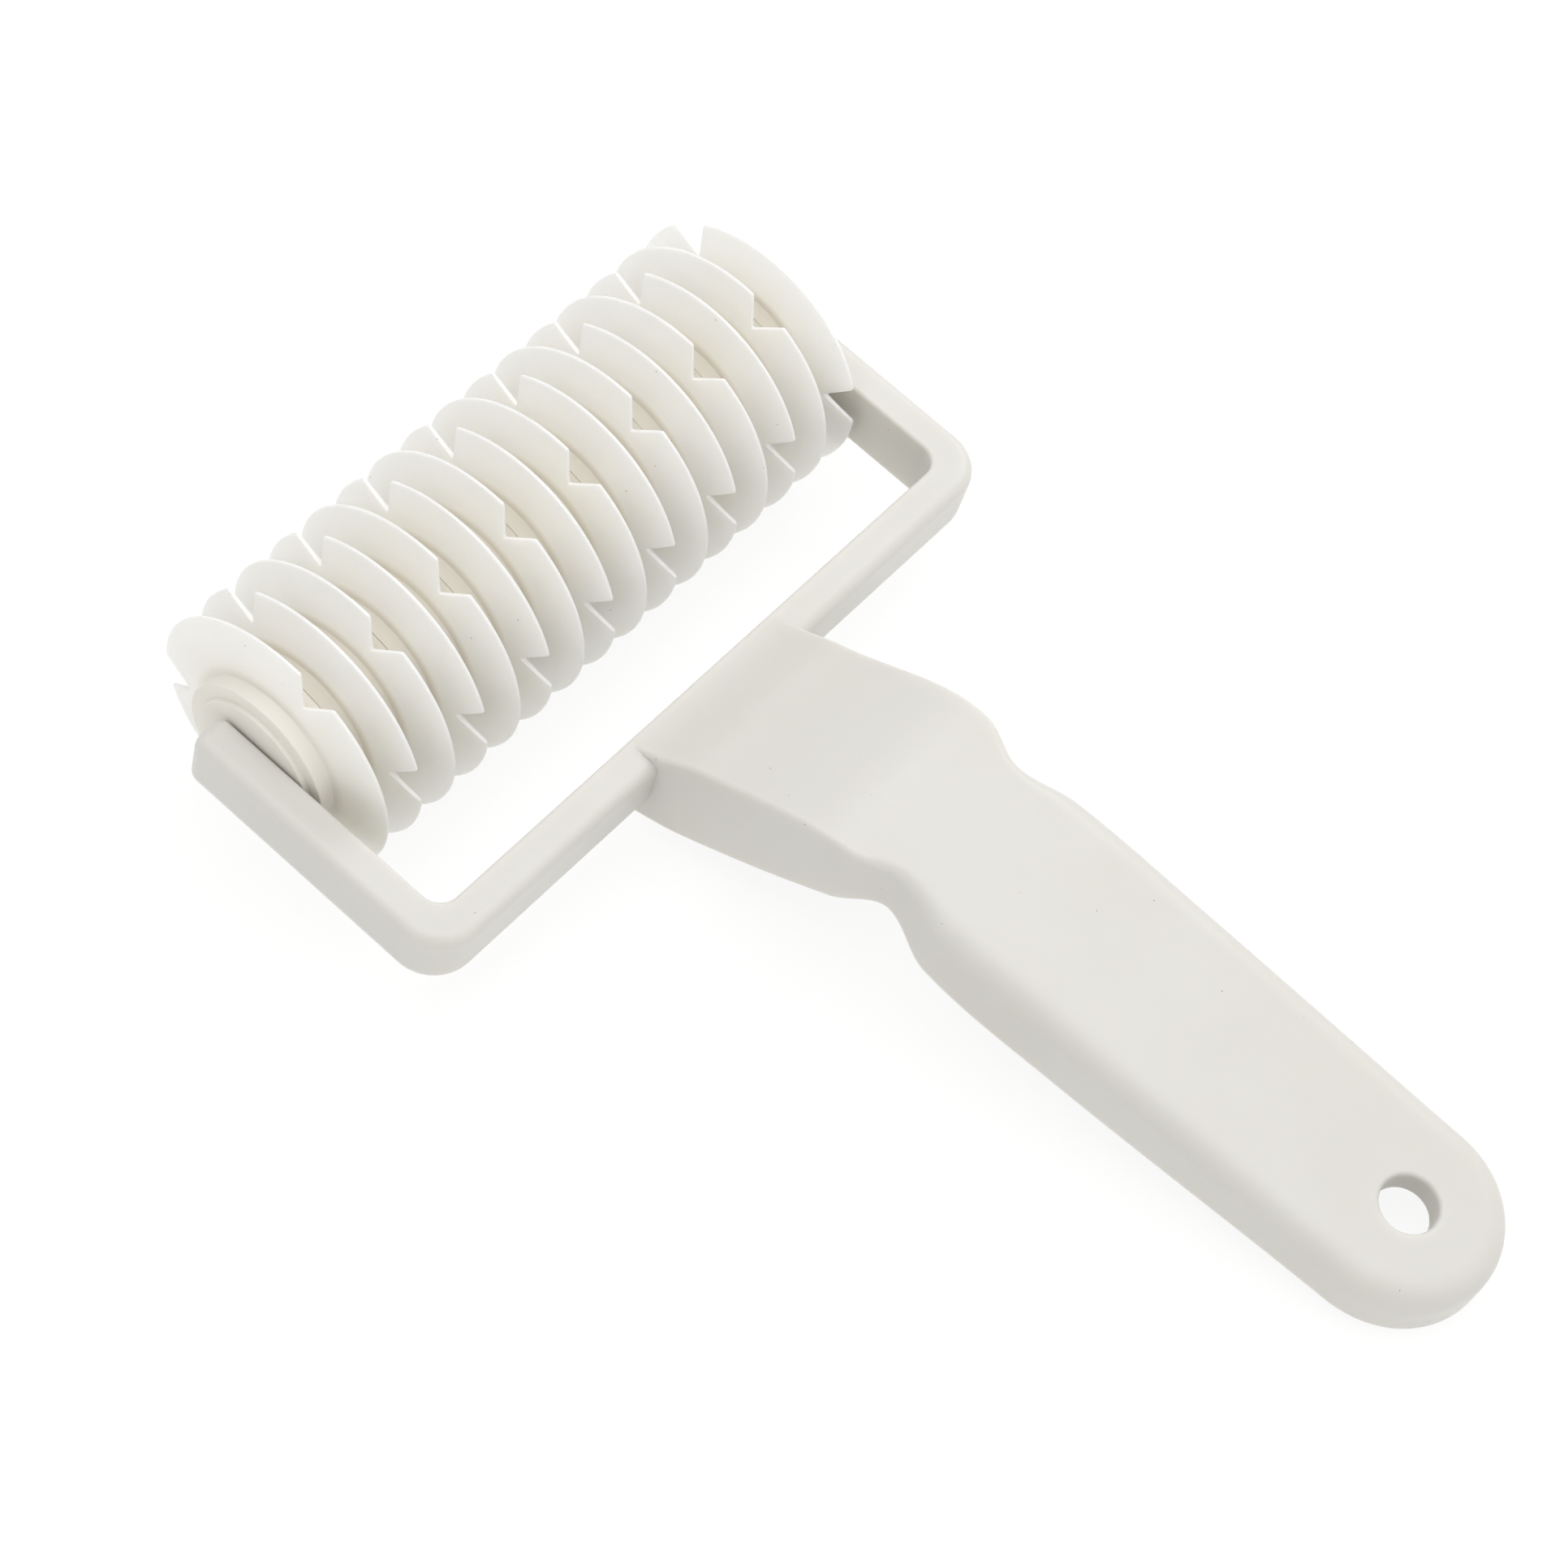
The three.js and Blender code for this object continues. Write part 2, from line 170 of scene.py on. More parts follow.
@dataclass(frozen=True)
class MouldedPolypropylene:
    """Ivory polypropylene as it leaves a steel mould.

    To the eye it is satin and a little waxy: light goes in slightly, the tint clouds by a
    few per cent where the melt flowed, flat walls sink by hundredths of a millimetre, the
    skin has a fine peel, and a few specks of darker pigment lie in it.
    """

    name: str
    colour: str
    cloud_colour: str
    speck_colour: str = "8d8672"
    roughness: float = 0.44
    roughness_swing: float = 0.1
    cloud_mm: float = 22.0
    sink_mm: float = 13.0
    sink_depth_mm: float = 0.05
    peel_mm: float = 0.55
    peel_depth_mm: float = 0.006
    speck_spacing_mm: float = 4.5
    speck_radius_mm: float = 0.13
    glow_depth_mm: float = 1.2
    glow: float = 0.12
    hub_shade_and_thinning: HubShadeAndThinning | None = None

    def build(self) -> bpy.types.Material:
        """Make the material from noise on Object coordinates, scaled in millimetres.

        Returns:
            The node material.
        """
        material = bpy.data.materials.new(self.name)
        material.use_nodes = True
        tree = material.node_tree
        tree.nodes.clear()
        place = add(tree, "ShaderNodeTexCoord").outputs["Object"]
        cloud = add(
            tree,
            "ShaderNodeTexNoise",
            {"Vector": place, "Scale": 1 / (self.cloud_mm * MM), "Detail": 3.0, "Roughness": 0.5},
        ).outputs["Fac"]
        tint = add(
            tree,
            "ShaderNodeMapRange",
            {"Value": cloud, "From Min": 0.36, "From Max": 0.64},
        ).outputs["Result"]
        clouded = add(
            tree,
            "ShaderNodeMix",
            {"Factor": tint, 6: linear(self.colour), 7: linear(self.cloud_colour)},
            data_type="RGBA",
        ).outputs[2]
        glow: bpy.types.NodeSocket | float = self.glow
        # Round the hub the colour is painted darker and warmer, as painted shade for the recesses between
        # the discs; the glow fades there as the wall thickens.
        if self.hub_shade_and_thinning:
            share = self.hub_shade_and_thinning.share(tree, place)
            clouded = add(
                tree,
                "ShaderNodeMix",
                {"Factor": share, 6: linear(self.hub_shade_and_thinning.painted_hub_shade_colour), 7: clouded},
                data_type="RGBA",
            ).outputs[2]
            glow = add(
                tree, "ShaderNodeMath", {0: share, 1: self.glow}, operation="MULTIPLY"
            ).outputs[0]
        cell = add(
            tree,
            "ShaderNodeTexVoronoi",
            {"Vector": place, "Scale": 1 / (self.speck_spacing_mm * MM)},
        ).outputs["Distance"]
        reach = self.speck_radius_mm / self.speck_spacing_mm
        speck = add(
            tree,
            "ShaderNodeMapRange",
            {"Value": cell, "From Min": reach, "From Max": reach / 2},
        ).outputs["Result"]
        colour = add(
            tree,
            "ShaderNodeMix",
            {"Factor": speck, 6: clouded, 7: linear(self.speck_colour)},
            data_type="RGBA",
        ).outputs[2]
        satin = add(
            tree,
            "ShaderNodeMapRange",
            {
                "Value": cloud,
                "From Min": 0.3,
                "From Max": 0.7,
                "To Min": self.roughness - self.roughness_swing / 2,
                "To Max": self.roughness + self.roughness_swing / 2,
            },
        ).outputs["Result"]
        sink = add(
            tree,
            "ShaderNodeTexNoise",
            {"Vector": place, "Scale": 1 / (self.sink_mm * MM), "Detail": 1.0},
        ).outputs["Fac"]
        sunk = add(
            tree,
            "ShaderNodeBump",
            {"Height": sink, "Distance": self.sink_depth_mm * MM, "Strength": 1.0},
        ).outputs["Normal"]
        peel = add(
            tree,
            "ShaderNodeTexNoise",
            {"Vector": place, "Scale": 1 / (self.peel_mm * MM), "Detail": 2.0},
        ).outputs["Fac"]
        peeled = add(
            tree,
            "ShaderNodeBump",
            {
                "Height": peel,
                "Distance": self.peel_depth_mm * MM,
                "Strength": 1.0,
                "Normal": sunk,
            },
        ).outputs["Normal"]
        shader = add(
            tree,
            "ShaderNodeBsdfPrincipled",
            {
                "Base Color": colour,
                "Roughness": satin,
                "IOR": 1.49,
                "Subsurface Weight": glow,
                "Subsurface Radius": (1.0, 0.94, 0.82),
                "Subsurface Scale": self.glow_depth_mm * MM,
                "Normal": peeled,
            },
        )
        add(tree, "ShaderNodeOutputMaterial", {"Surface": shader.outputs["BSDF"]})
        return material


FRAME_FINISH = MouldedPolypropylene(
    "moulded_polypropylene_ivory", "d8d6d1", "d6d4ce", glow_depth_mm=2.5, glow=0.6
)
# The disc plastic, with painted shade on its hubs between the discs.
DISC_FINISH = MouldedPolypropylene(
    "moulded_polypropylene_cream_hub_shaded",
    "fcfaf5",
    "faf7f0",
    sink_depth_mm=0.03,
    glow_depth_mm=3.0,
    glow=0.9,
    hub_shade_and_thinning=HubShadeAndThinning(12.4, 14.5, "dbd6ca"),
)
# The end disc takes a lit copy of the disc plastic: its blade is painted a little darker to offset the left
# lamp that falls on it, and its hub carries a lighter painted shade than the hubs between the discs.
END_DISC_LIT_COPY = replace(
    DISC_FINISH,
    name="moulded_polypropylene_end_disc_lit_copy",
    colour="f5f2eb",
    cloud_colour="f2efe6",
    hub_shade_and_thinning=HubShadeAndThinning(12.4, 14.5, "eae6dd"),
)
AXLE_FINISH = MouldedPolypropylene("moulded_polypropylene_core", "e4e0d4", "dfdaca", roughness=0.5)


@dataclass(frozen=True)
class RestPose:
    """How the tool's own frame, with its origin on the axle, lies in the row frame."""

    axle: tuple[float, float, float]
    tilt: float

    def matrix(self) -> Matrix:
        """Scale to metres, tilt about X, then move to the axle."""
        turn = Matrix.Rotation(self.tilt, 4, "X")
        return Matrix.Translation(self.axle) @ turn @ Matrix.Scale(MM, 4)


@dataclass
class Skin:
    """A mesh gathered from whole grids of points and welded where they meet."""

    name: str
    points: list[np.ndarray] = field(default_factory=list)
    quads: list[np.ndarray] = field(default_factory=list)
    weld_mm: float = 1e-4
    speck_mm: float = 1e-5

    def lay(self, grid: np.ndarray, wrap_rows: bool = False, wrap_columns: bool = False) -> None:
        """Join each point of a grid to its neighbours in rows and columns.

        Args:
            grid: points as rows, columns and x, y, z in millimetres.
            wrap_rows: whether the last row joins the first.
            wrap_columns: whether the last column joins the first.
        """
        rows, columns = grid.shape[:2]
        start = sum(len(block) for block in self.points)
        index = start + np.arange(rows * columns).reshape(rows, columns)
        if wrap_rows:
            index = np.concatenate([index, index[:1]], axis=0)
        if wrap_columns:
            index = np.concatenate([index, index[:, :1]], axis=1)
        corners = (index[:-1, :-1], index[:-1, 1:], index[1:, 1:], index[1:, :-1])
        self.points.append(grid.reshape(-1, 3))
        self.quads.append(np.stack(corners, axis=-1).reshape(-1, 4))

    def mesh(self, pose: RestPose) -> bpy.types.Mesh:
        """Weld the grids, turn the faces outwards and lay the mesh in the row frame.

        Args:
            pose: where the tool lies.

        Returns:
            The smooth-shaded mesh, with edges sharp above one set angle.
        """
        mesh = bpy.data.meshes.new(self.name)
        points = np.concatenate(self.points)
        mesh.from_pydata(points.tolist(), [], np.concatenate(self.quads).tolist())
        shell = bmesh.new()
        shell.from_mesh(mesh)
        bmesh.ops.remove_doubles(shell, verts=shell.verts, dist=self.weld_mm)
        bmesh.ops.dissolve_degenerate(shell, edges=shell.edges, dist=self.speck_mm)
        bmesh.ops.recalc_face_normals(shell, faces=shell.faces)
        shell.to_mesh(mesh)
        shell.free()
        mesh.transform(pose.matrix())
        mesh.shade_smooth()
        mesh.set_sharp_from_angle(angle=SHARP_EDGE)
        return mesh

    def piece(self, pose: RestPose) -> bpy.types.Object:
        """Make the piece at the origin and link it to the scene."""
        made = bpy.data.objects.new(self.name, self.mesh(pose))
        bpy.context.scene.collection.objects.link(made)
        return made


def capped(rings: np.ndarray) -> np.ndarray:
    """Close a run of rings with a point at the middle of its first and last ring.

    Args:
        rings: points as rings, places round a ring, and x, y, z.

    Returns:
        The rings with a collapsed ring added before and after.
    """
    ends = [np.broadcast_to(r.mean(axis=0), r.shape)[None] for r in (rings[0], rings[-1])]
    return np.concatenate([ends[0], rings, ends[1]])


def dress(piece: bpy.types.Object, finish: bpy.types.Material, body: Body) -> None:
    """Give a new piece its finish and the body it moves with.

    Args:
        piece: the new piece.
        finish: its material.
        body: the body it rides on.
    """
    piece.data.materials.clear()
    piece.data.materials.append(finish)
    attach(piece, body.value)
    log.info("%s: %d faces on %s", piece.name, len(piece.data.polygons), body.value)


@dataclass(frozen=True)
class Yoke:
    """The U-shaped yoke: a rounded upright section carried round two bends.

    Places are in millimetres from the axle, the bar's inner face at a negative y.
    """

    arm_inner: float = 54.61
    arm_thickness: float = 5.8
    bar_inner: float = -35.5
    bar_thickness: float = 5.8
    above: float = 5.5
    below: float = 6.2
    past_axle: float = 6.6
    inner_bend: float = 3.3
    outer_bend: float = 7.0
    inner_edge: float = 0.6
    upper_round: float = 1.9
    lower_round: float = 2.8
    tip_round: float = 2.0
    socket_diameter: float = 5.4
    socket_depth: float = 3.8
    corner_steps: int = 9
    bend_steps: int = 29
    arm_steps: int = 14
    bar_steps: int = 16
    socket_steps: int = 64
    support: float = 0.12

    def run(self) -> tuple[np.ndarray, np.ndarray, np.ndarray]:
        """Follow the left half in plan: rounded tip, straight arm, quarter bend, half the bar.

        At the tip the section shrinks by r(1 - sin a) while it moves on by r cos a. In the
        bend both faces go round their own centre through the same angle.

        Returns:
            Places of the inner face and of the outer face, and the inset at each.
        """
        turn = np.linspace(0, QUARTER, self.corner_steps)
        tip = self.past_axle - self.tip_round * (1 - np.cos(turn))
        inset = self.tip_round * (1 - np.sin(turn))
        bend = np.linspace(math.pi, 1.5 * math.pi, self.bend_steps)
        faces = []
        for arm, bar, radius in (
            (self.arm_inner, self.bar_inner, self.inner_bend),
            (self.arm_inner + self.arm_thickness, self.bar_inner - self.bar_thickness, self.outer_bend),
        ):
            start = np.stack([np.full_like(tip, -arm), tip], axis=-1)
            round_x = -arm + radius * (1 + np.cos(bend))
            round_y = bar + radius * (1 + np.sin(bend))
            straight = np.linspace(tip[-1], round_y[0], self.arm_steps)[1:-1]
            side = np.stack([np.full_like(straight, -arm), straight], axis=-1)
            along = np.linspace(round_x[-1], 0, self.bar_steps)[1:]
            base = np.stack([along, np.full_like(along, bar)], axis=-1)
            faces.append(np.concatenate([start, side, np.stack([round_x, round_y], axis=-1), base]))
        shrink = np.zeros(len(faces[0]))
        shrink[: len(inset)] = inset
        return faces[0], faces[1], shrink

    def rings(self) -> np.ndarray:
        """Carry the section along the run and mirror it across the middle.

        The section is a rectangle with a radius of its own at each corner. A point a short
        way along each flat keeps the flats flat beside the rounds.

        Returns:
            Rings of points from the left tip to the right tip.
        """
        inner, outer, inset = self.run()
        across = outer - inner
        width = np.linalg.norm(across, axis=1)
        across /= width[:, None]
        half = (width / 2 - inset)[:, None]
        top = (self.above - inset)[:, None]
        bottom = (-self.below + inset)[:, None]
        arc = np.linspace(0, QUARTER, self.corner_steps)
        cos = np.concatenate([[1], np.cos(arc), [0]])
        sin = np.concatenate([[0], np.sin(arc), [1]])
        flat_cos = np.zeros_like(cos)
        flat_cos[-1] = -self.support
        flat_sin = np.zeros_like(sin)
        flat_sin[0] = -self.support
        out, up = [], []
        corners = (
            (1, top, -1, self.upper_round),
            (-1, top, -1, self.inner_edge),
            (-1, bottom, 1, self.inner_edge),
            (1, bottom, 1, self.lower_round),
        )
        for quarter, (side, level, inward, wanted) in enumerate(corners):
            radius = np.minimum(wanted, half - self.support)
            c, s = math.cos(quarter * QUARTER), math.sin(quarter * QUARTER)
            x = radius * cos + flat_cos
            y = radius * sin + flat_sin
            out.append(side * (half - radius) + c * x - s * y)
            up.append(level + inward * radius + s * x + c * y)
        out, up = np.concatenate(out, axis=1), np.concatenate(up, axis=1)
        middle = (inner + outer) / 2
        plan = middle[:, None] + across[:, None] * out[..., None]
        left = np.concatenate([plan, up[..., None]], axis=-1)
        right = left[::-1][1:] * np.array([-1.0, 1.0, 1.0])
        return np.concatenate([left, right])

    def sockets(self) -> np.ndarray:
        """Draw the round rod that leaves a blind socket in both arms, ring by ring along X."""
        angle = np.linspace(0, 2 * math.pi, self.socket_steps, endpoint=False)
        reach = self.arm_inner + self.socket_depth
        circle = np.stack([np.zeros_like(angle), np.cos(angle), np.sin(angle)], axis=-1)
        circle *= self.socket_diameter / 2
        return np.stack([circle + np.array([x, 0, 0]) for x in (-reach, reach)])

    def shell(self, pose: RestPose) -> bpy.types.Object:
        """Make the closed shell of the yoke."""
        body = Skin("yoke_and_handle")
        body.lay(capped(self.rings()), wrap_columns=True)
        return body.piece(pose)

    def socket_rod(self, pose: RestPose) -> bpy.types.Object:
        """Make the rod that leaves the axle's sockets."""
        rod = Skin("socket_rod")
        rod.lay(capped(self.sockets()), wrap_columns=True)
        return rod.piece(pose)


@dataclass(frozen=True)
class Handle:
    """Neck, finger scallops and hollow grip as one closed sheet round the plan outline.

    Distances run from the bar's inner face towards the hand, heights from the axle, all in
    millimetres. The sizes from row_step to even_share space the rows of points, and nudge is
    the step that slopes are measured over.
    """

    bar_inner: float = -35.5
    length: float = 138.2
    end_radius: float = 14.95
    front: float = 3.4
    tucked: float = -4.8
    hollow_from: float = 8.2
    wall: float = 2.4
    roof: float = 2.6
    rim_round: float = 0.45
    inner_fillet: float = 1.0
    hole_from_end: float = 14.4
    hole_radius: float = 4.2
    hole_round: float = 0.7
    boss_wall: float = 2.2
    boss_depth: float = 4.7
    rib: float = 1.6
    rib_recess: float = 1.5
    rib_spacing: float = 21.0
    row_step: float = 0.9
    end_steps: int = 49
    front_marks: tuple[float, ...] = (0.4, 1.3, 2.4)
    past_front: float = 0.03
    hollow_edge: float = 0.02
    nudge: float = 0.05
    even_share: float = 0.8
    stations: tuple[tuple[float, ...], ...] = (
        (0.0, 16.3, 5.46, -10.5, 0.9),
        (12.2, 15.5, 11.8, -6.8, 0.9),
        (36.7, 15.5, 22.6, 9.1, 0.9),
        (44.2, 13.0, 22.6, 12.9, 2.0),
        (53.6, 15.65, 22.6, 10.9, 4.0),
        (76.7, 15.65, 22.6, 10.9, 4.0),
        (123.25, 14.95, 22.6, 13.9, 4.0),
        (138.2, 14.95, 22.6, 13.9, 4.0),
    )

    def value(self, column: Column, distance: np.ndarray) -> np.ndarray:
        """Read one column of the stations smoothly at any distance.

        Between two stations it is a cubic with set slopes at both ends: the mean slope of
        the neighbours, or level where the column turns. The top is level at the bar as well,
        and where it meets the grip.

        Args:
            column: which size to read.
            distance: distances along the handle.

        Returns:
            The size at each distance.
        """
        table = np.array(self.stations)
        at, size = table[:, 0], table[:, 1 + column.value]
        last = len(at) - 1
        before = np.maximum(np.arange(last + 1) - 1, 0)
        after = np.minimum(np.arange(last + 1) + 1, last)
        slope = (size[after] - size[before]) / (at[after] - at[before])
        bend = (size - size[before]) * (size[after] - size)
        slope[bend < 0] = 0
        if column is Column.TOP:
            slope[bend <= 0] = 0
        row = np.clip(np.searchsorted(at, distance, side="right") - 1, 0, last - 1)
        span = at[row + 1] - at[row]
        t = np.clip((distance - at[row]) / span, 0, 1)
        rise = t * t * (3 - 2 * t)
        leave = t * (1 - t) ** 2 * span * slope[row]
        arrive = t * t * (t - 1) * span * slope[row + 1]
        return size[row] + (size[row + 1] - size[row]) * rise + leave + arrive

    def outline(self) -> tuple[np.ndarray, np.ndarray]:
        """Walk the left half of the plan outline from the bar to the tip.

        Along the side the place is (-half width, distance) and the inward normal follows
        from the slope of the half width. The end is a quarter circle.

        Returns:
            Places as sideways and distance, and inward normals.
        """
        end_start = self.length - self.end_radius
        steps = int((end_start - self.front) / self.row_step)
        side = np.linspace(self.front + self.past_front, end_start, steps)
        edges = (self.front, self.hollow_from - self.hollow_edge, self.hollow_from + self.hollow_edge)
        side = np.unique(np.concatenate([side, self.front_marks, edges]))
        half = self.value(Column.HALF, side)
        ahead, behind = (self.value(Column.HALF, side + step) for step in (self.nudge, -self.nudge))
        slope = (ahead - behind) / (2 * self.nudge)
        normal = np.stack([np.ones_like(slope), slope], axis=-1)
        normal /= np.linalg.norm(normal, axis=1, keepdims=True)
        turn = np.linspace(0, QUARTER, self.end_steps)[1:]
        inward = np.stack([np.cos(turn), -np.sin(turn)], axis=-1)
        arc = np.array([0.0, end_start]) - self.end_radius * inward
        arc[-1, 0] = 0.0
        place = np.concatenate([np.stack([-half, side], axis=-1), arc])
        return place, np.concatenate([normal, inward])

    def hole_rows(self, place: np.ndarray) -> np.ndarray:
        """Mark the outline's places whose inner end lies on the hang hole's rim."""
        reach = self.hole_radius + self.boss_wall + 1
        return place[:, 1] >= self.length - self.hole_from_end - reach

    def inner_curve(self, place: np.ndarray, radius: float) -> np.ndarray:
        """Give each place of the outline its inner end: the middle line, then the hole's rim.

        On the rim the angle grows evenly with the place's number, from the side nearest
        the bar to the side nearest the tip.

        Args:
            place: places on the outline.
            radius: radius of the rim.

        Returns:
            Inner ends as sideways and distance.
        """
        hole = self.length - self.hole_from_end
        rim = self.hole_rows(place)
        before = place[~rim, 1]
        even_until = self.even_share * hole
        wanted = [before[0], even_until, hole - radius]
        squeeze = np.interp(before, [before[0], even_until, before[-1]], wanted)
        angle = np.linspace(0, math.pi, int(rim.sum()) + 1)[1:]
        around = np.stack([-np.sin(angle), -np.cos(angle)], axis=-1) * radius
        around[-1, 0] = 0.0
        middle = np.stack([np.zeros_like(squeeze), squeeze], axis=-1)
        return np.concatenate([middle, np.array([0.0, hole]) + around])

    def sheet(self) -> tuple[np.ndarray, int]:
        """Work out the closed sheet of the left half, column by column across the section.

        The columns go from the middle of the top out to the edge, round it, down the wall,
        round the rim, up the inside and back along the roof. Ahead of the hollow the inner
        columns lie flat on the underside.

        Returns:
            Points as rows along the outline, columns and x, y, z, and the first row whose
            inner end lies on the hang hole.
        """
        place, normal = self.outline()
        distance = place[:, 1]
        edge = self.value(Column.EDGE, distance)
        bottom = self.value(Column.BOTTOM, distance)
        bottom = np.where(distance < self.front + 0.01, self.tucked, bottom)
        solid = distance < self.hollow_from
        hole_top = self.inner_curve(place, self.hole_radius + self.hole_round)
        hole_roof = self.inner_curve(place, self.hole_radius + self.boss_wall)

        def inset(depth: np.ndarray | float) -> np.ndarray:
            """Move the outline inwards along its normals."""
            return place + normal * np.broadcast_to(depth, distance.shape)[:, None]

        def top(plan: np.ndarray) -> np.ndarray:
            """Height of the top at places in plan."""
            return self.value(Column.TOP, plan[:, 1])

        columns: list[tuple[np.ndarray, np.ndarray]] = []
        for share in (0, 0.2, 0.4, 0.6, 0.8, 0.92, 0.985):
            plan = hole_top + (inset(edge) - hole_top) * share
            columns.append((plan, top(plan)))
        for angle in np.linspace(0, QUARTER, 13):
            plan = inset(edge * (1 - math.sin(angle)))
            columns.append((plan, top(plan) - edge * (1 - math.cos(angle))))
        high = top(place) - edge
        low = bottom + self.rim_round
        for share in (0.02, 0.25, 0.5, 0.75, 0.97):
            columns.append((place, high + (low - high) * share))
        for angle in np.linspace(0, QUARTER, 5):
            plan = inset(self.rim_round * (1 - math.cos(angle)))
            columns.append((plan, low - self.rim_round * math.sin(angle)))
        fillet = self.inner_fillet
        ceiling = top(inset(self.wall)) - self.roof - fillet
        inner: list[tuple[np.ndarray, np.ndarray]] = []
        for angle in np.linspace(0, QUARTER, 5):
            plan = inset(self.wall - self.rim_round * (1 - math.sin(angle)))
            inner.append((plan, low - self.rim_round * math.cos(angle)))
        for share in (0.03, 0.35, 0.7, 0.97):
            inner.append((inset(self.wall), low + (ceiling - low) * share))
        for angle in np.linspace(0, QUARTER, 6):
            plan = inset(self.wall + fillet * (1 - math.cos(angle)))
            inner.append((plan, top(plan) - self.roof - fillet * (1 - math.sin(angle))))
        for share in (0.97, 0.75, 0.5, 0.25, 0):
            plan = hole_roof + (inset(self.wall + fillet) - hole_roof) * share
            inner.append((plan, top(plan) - self.roof))
        columns += [(plan, np.where(solid, bottom, height)) for plan, height in inner]
        plans = np.stack([plan for plan, _ in columns], axis=1)
        heights = np.stack([height for _, height in columns], axis=1)
        grid = np.stack([plans[..., 0], self.bar_inner - plans[..., 1], heights], axis=-1)
        return grid, int(np.argmax(self.hole_rows(place)))

    def whole(self) -> tuple[np.ndarray, np.ndarray]:
        """Mirror the half sheet, close its front, and line the hang hole.

        The lining goes round the hole at a run of radii and heights: down the boss, across
        its foot, up the bore and over a rounded mouth.

        Returns:
            The sheet and the lining, each a grid of points.
        """
        half, first = self.sheet()
        front = np.broadcast_to(half[0].mean(axis=0) * np.array([0.0, 1.0, 1.0]), half[0].shape)
        half = np.concatenate([front[None], half])
        mirrored = half[::-1][1:] * np.array([-1.0, 1.0, 1.0])
        sheet = np.concatenate([half, mirrored])
        around = sheet[first : len(sheet) - first]
        centre = np.array([0.0, self.bar_inner - self.length + self.hole_from_end])
        outer = self.hole_radius + self.boss_wall
        way = (around[:, -1, :2] - centre) / outer
        grip = self.stations[-1][2]
        foot, bore = grip - self.boss_depth, self.hole_radius
        steps = [(outer, foot + 0.3), (outer - 0.1, foot + 0.09), (outer - 0.3, foot)]
        steps += [(bore + 0.3, foot), (bore + 0.09, foot + 0.09), (bore, foot + 0.3)]
        steps += [(bore, grip - self.hole_round - 0.1)]
        for angle in np.linspace(0, QUARTER, 7)[:-1]:
            mouth = self.hole_round
            steps.append((bore + mouth * (1 - math.cos(angle)), grip - mouth * (1 - math.sin(angle))))
        lining = [around[:, -1]]
        for radius, height in steps:
            plan = centre + way * radius
            lining.append(np.column_stack([plan, np.full(len(plan), height)]))
        lining.append(around[:, 0])
        return sheet, np.stack(lining, axis=1)

    def ribs(self) -> list[np.ndarray]:
        """Draw the ribs under the roof: one along the middle and several across.

        Each is a run of four-cornered rings, its lower edge a set recess above the rim and
        its upper edge inside the roof.

        Returns:
            One array of rings for each rib.
        """
        hole = self.length - self.hole_from_end
        along = np.arange(self.hollow_from - 1, hole - self.hole_radius - 0.6, 2.0)
        runs = [(np.zeros_like(along), along, np.array([1.0, 0.0]))]
        count = int((hole - 2 * self.hole_radius - self.hollow_from) / self.rib_spacing)
        for number in range(1, count + 1):
            at = self.hollow_from + number * self.rib_spacing
            reach = float(self.value(Column.HALF, np.array([at]))[0]) - self.wall / 2
            sideways = np.linspace(-reach, reach, 9)
            runs.append((sideways, np.full_like(sideways, at), np.array([0.0, 1.0])))
        made = []
        for sideways, distance, thick in runs:
            low = self.value(Column.BOTTOM, distance) + self.rib_recess
            high = self.value(Column.TOP, distance) - self.roof / 2
            corners = ((-0.5, low), (0.5, low), (0.5, high), (-0.5, high))
            rings = [
                np.column_stack([
                    sideways + thick[0] * side * self.rib,
                    self.bar_inner - distance + thick[1] * side * self.rib,
                    height,
                ])
                for side, height in corners
            ]
            made.append(np.stack(rings, axis=1))
        return made

    def shell(self, pose: RestPose) -> bpy.types.Object:
        """Make the closed shell of the handle, whose front end lies inside the bar."""
        shell = Skin("handle_shell")
        for grid in self.whole():
            shell.lay(grid)
        return shell.piece(pose)

    def ribbing(self, pose: RestPose) -> bpy.types.Object:
        """Make all the ribs as one piece."""
        ribs = Skin("handle_ribs")
        for rings in self.ribs():
            ribs.lay(capped(rings), wrap_columns=True)
        return ribs.piece(pose)


@dataclass(frozen=True)
class HandleFrame:
    """Yoke and handle moulded in one, with a blind socket for the axle in each arm."""

    yoke: Yoke = Yoke()
    handle: Handle = Handle()

    def build(self, pose: RestPose, finish: bpy.types.Material) -> None:
        """Join the handle's shell to the yoke's, cut the sockets, and dress the moulding.

        Args:
            pose: where the tool lies.
            finish: material of the moulding.
        """
        piece = self.yoke.shell(pose)
        tools = {"UNION": self.handle.shell(pose), "DIFFERENCE": self.yoke.socket_rod(pose)}
        for operation, tool in tools.items():
            step = piece.modifiers.new(tool.name, "BOOLEAN")
            step.operation = operation
            step.object = tool
        shaped = piece.evaluated_get(bpy.context.evaluated_depsgraph_get())
        mesh = bpy.data.meshes.new_from_object(shaped)
        mesh.name = piece.name
        piece.modifiers.clear()
        piece.data = mesh
        mesh.set_sharp_from_angle(angle=SHARP_EDGE)
        for tool in tools.values():
            bpy.data.objects.remove(tool)
        dress(piece, finish, Body.FRAME)
        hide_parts("handle_frame")
        dress(self.handle.ribbing(pose), finish, Body.FRAME)


